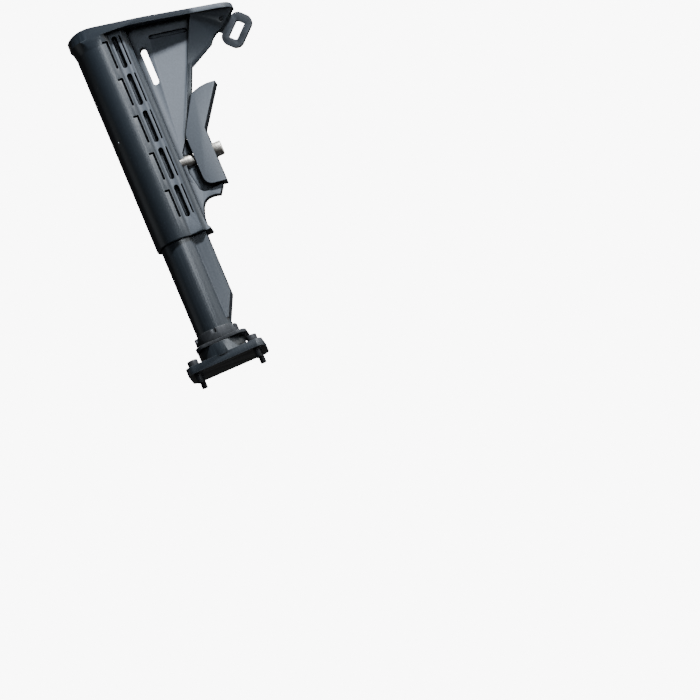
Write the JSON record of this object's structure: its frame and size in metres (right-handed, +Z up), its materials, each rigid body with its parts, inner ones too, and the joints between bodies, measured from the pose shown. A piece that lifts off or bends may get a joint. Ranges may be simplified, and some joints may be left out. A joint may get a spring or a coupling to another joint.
{
  "type": "adjustable paintball marker stock",
  "caption": "Sliding shoulder stock on a round extension tube with a keel, set by a spring-loaded lock pin and a squeeze lever, with a sling loop at the toe.",
  "frame": {"origin": "centre of the flat front face of the mounting adapter, on the tube axis", "axes": "+X to the rear along the tube, +Z up, -Y to the left side; the stock stands at its longest setting"},
  "size_m": [0.2863, 0.0372, 0.1479],
  "materials": {
    "stock_plastic": "fine moulded texture, satin black nylon",
    "lever_plastic": "fine moulded texture, satin black nylon",
    "tube_aluminium": "satin black anodised",
    "black_steel": "black phosphate",
    "loop_steel": "black satin paint",
    "bright_steel": "turned, plain zinc",
    "spring_steel": "drawn wire"
  },
  "bodies": {
    "tube": {"mount_adapter": "tube_aluminium", "end_plate": "black_steel", "lock_ring": "black_steel", "extension_tube": "tube_aluminium", "tube_end_cap": "stock_plastic", "adapter_screw_1": "black_steel", "adapter_screw_2": "black_steel", "adapter_screw_3": "black_steel", "adapter_screw_4": "black_steel"},
    "stock": {"stock_body": "stock_plastic", "pin_sleeve": "bright_steel", "sling_loop": "loop_steel", "sling_loop_pin": "black_steel", "lock_pin_spring": "spring_steel"},
    "lever": {"release_lever": "lever_plastic"},
    "pin": {"lock_pin": "bright_steel", "lock_pin_nut": "bright_steel", "lever_cross_pin": "bright_steel"}
  },
  "joints": [
    {"name": "stock_slide", "type": "slide", "parent": "tube", "child": "stock", "axis": [1, 0, 0], "range_m": [-0.072, 0]},
    {"name": "lock_pin_pull", "type": "slide", "parent": "stock", "child": "pin", "axis": [0, 0, -1], "range_m": [0, 0.00435], "stiffness_N_per_m": 1500, "springref_m": -0.004, "deforming": ["lock_pin_spring"]},
    {"name": "lever_squeeze", "type": "hinge", "parent": "stock", "child": "lever", "pos_m": [0.176, 0, -0.0436], "axis": [0, -1, 0], "range_deg": [0, 12.75]}
  ],
  "couplings": [
    {"joint": "lever_squeeze", "follows": "lock_pin_pull", "rad_per_m": 51}
  ]
}
